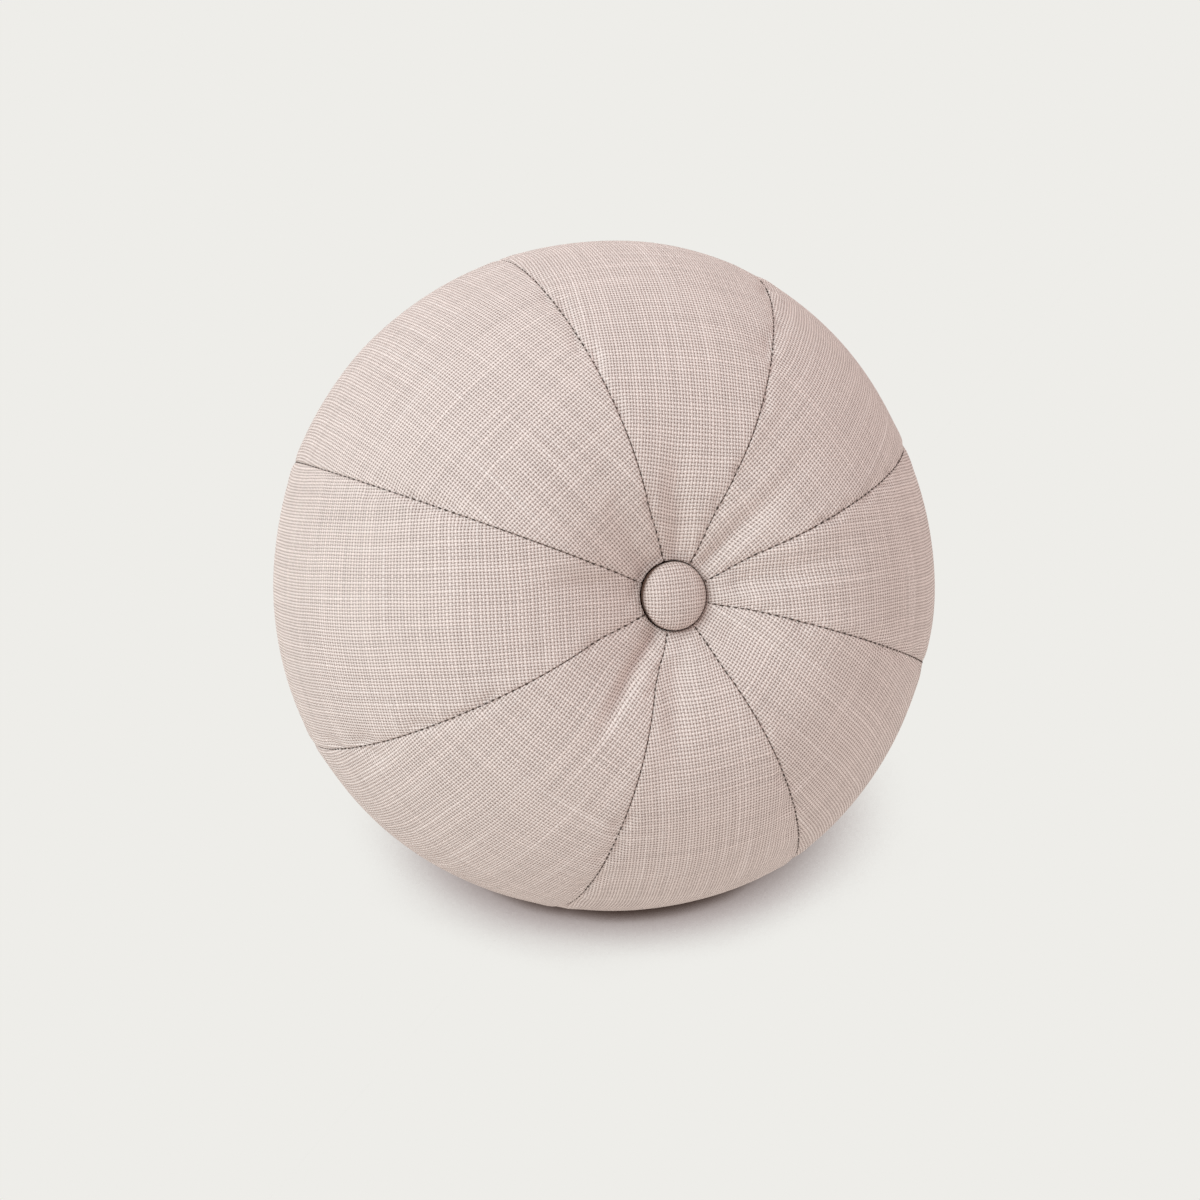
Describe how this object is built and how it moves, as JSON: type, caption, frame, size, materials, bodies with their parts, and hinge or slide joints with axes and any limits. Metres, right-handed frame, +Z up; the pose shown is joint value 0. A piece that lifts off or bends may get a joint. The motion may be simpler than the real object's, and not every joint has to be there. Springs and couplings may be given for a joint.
{
  "type": "ball cushion",
  "caption": "Round tufted ball cushion of sewn cloth gores, slightly flattened, with a covered button at each pole, resting on a small flat spot.",
  "frame": {"origin": "middle of the underside of the bounding box, on the surface that the cushion rests on", "axes": "+Z up; the front button faces -Y, tipped up 27 degrees from the horizontal; +X to the right as the front button is looked at"},
  "size_m": [0.2978, 0.2626, 0.2805],
  "materials": {
    "cover_cloth": "matte",
    "button_cloth": "matte"
  },
  "bodies": {
    "root": {"cushion": "cover_cloth", "button_front": "button_cloth", "button_back": "button_cloth"}
  },
  "joints": []
}
